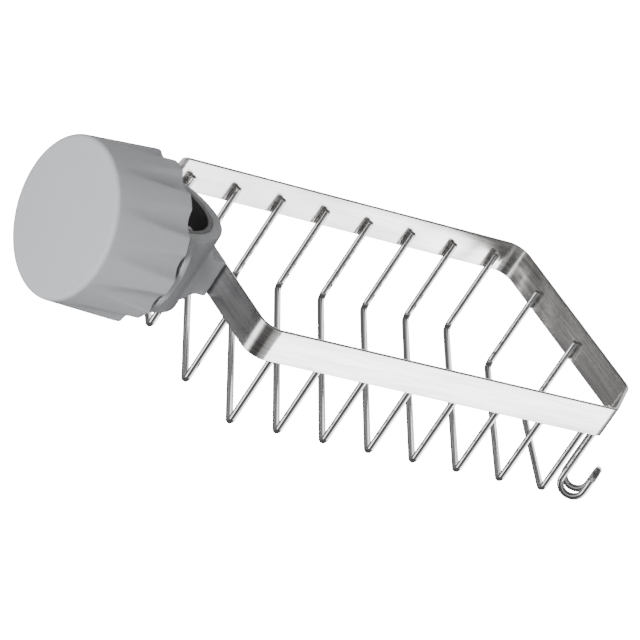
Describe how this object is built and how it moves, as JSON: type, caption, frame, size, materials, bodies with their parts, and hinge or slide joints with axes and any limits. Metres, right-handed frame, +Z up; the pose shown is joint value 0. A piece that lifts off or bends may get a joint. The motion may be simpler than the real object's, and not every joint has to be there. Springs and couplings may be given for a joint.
{
  "type": "soap rack",
  "caption": "Open wire soap rack with a steel rim band, a small hairpin hook and a fluted knob that tightens a split clamp on an upright pipe.",
  "frame": {"origin": "on the axis of the thinnest pipe that the clamp holds, at half the height of the clamp (mount pipe_clamp)", "axes": "+X along the rack, from the knob to the far end; +Z up, along the pipe; -Y towards the side with the hook"},
  "size_m": [0.2286, 0.1014, 0.0626],
  "materials": {
    "steel_band": "brushed along the strip",
    "steel_wire": "polished",
    "grey_plastic": "satin grey",
    "dark_rubber": "matte"
  },
  "bodies": {
    "rack": {"frame_band": "steel_band", "wire_01": "steel_wire", "wire_02": "steel_wire", "wire_03": "steel_wire", "wire_04": "steel_wire", "wire_05": "steel_wire", "wire_06": "steel_wire", "wire_07": "steel_wire", "wire_08": "steel_wire", "wire_09": "steel_wire", "wire_10": "steel_wire", "hairpin_hook": "steel_wire", "clamp_body": "grey_plastic", "nose_liner": "dark_rubber", "band_screws": "steel_wire"},
    "shoe": {"pressure_shoe": "grey_plastic", "shoe_pad": "dark_rubber"},
    "knob": {"hand_knob": "grey_plastic"}
  },
  "joints": [
    {"name": "shoe_slide", "type": "slide", "parent": "rack", "child": "shoe", "axis": [-1, 0, 0], "range_m": [-0.00141, 0.01401]},
    {"name": "knob_turn", "type": "hinge", "parent": "shoe", "child": "knob", "pos_m": [-0.02, 0, 0], "axis": [-1, 0, 0], "range_deg": [-144, 1440]}
  ],
  "couplings": [
    {"joint": "shoe_slide", "follows": "knob_turn", "m_per_rad": 0.00055704}
  ]
}
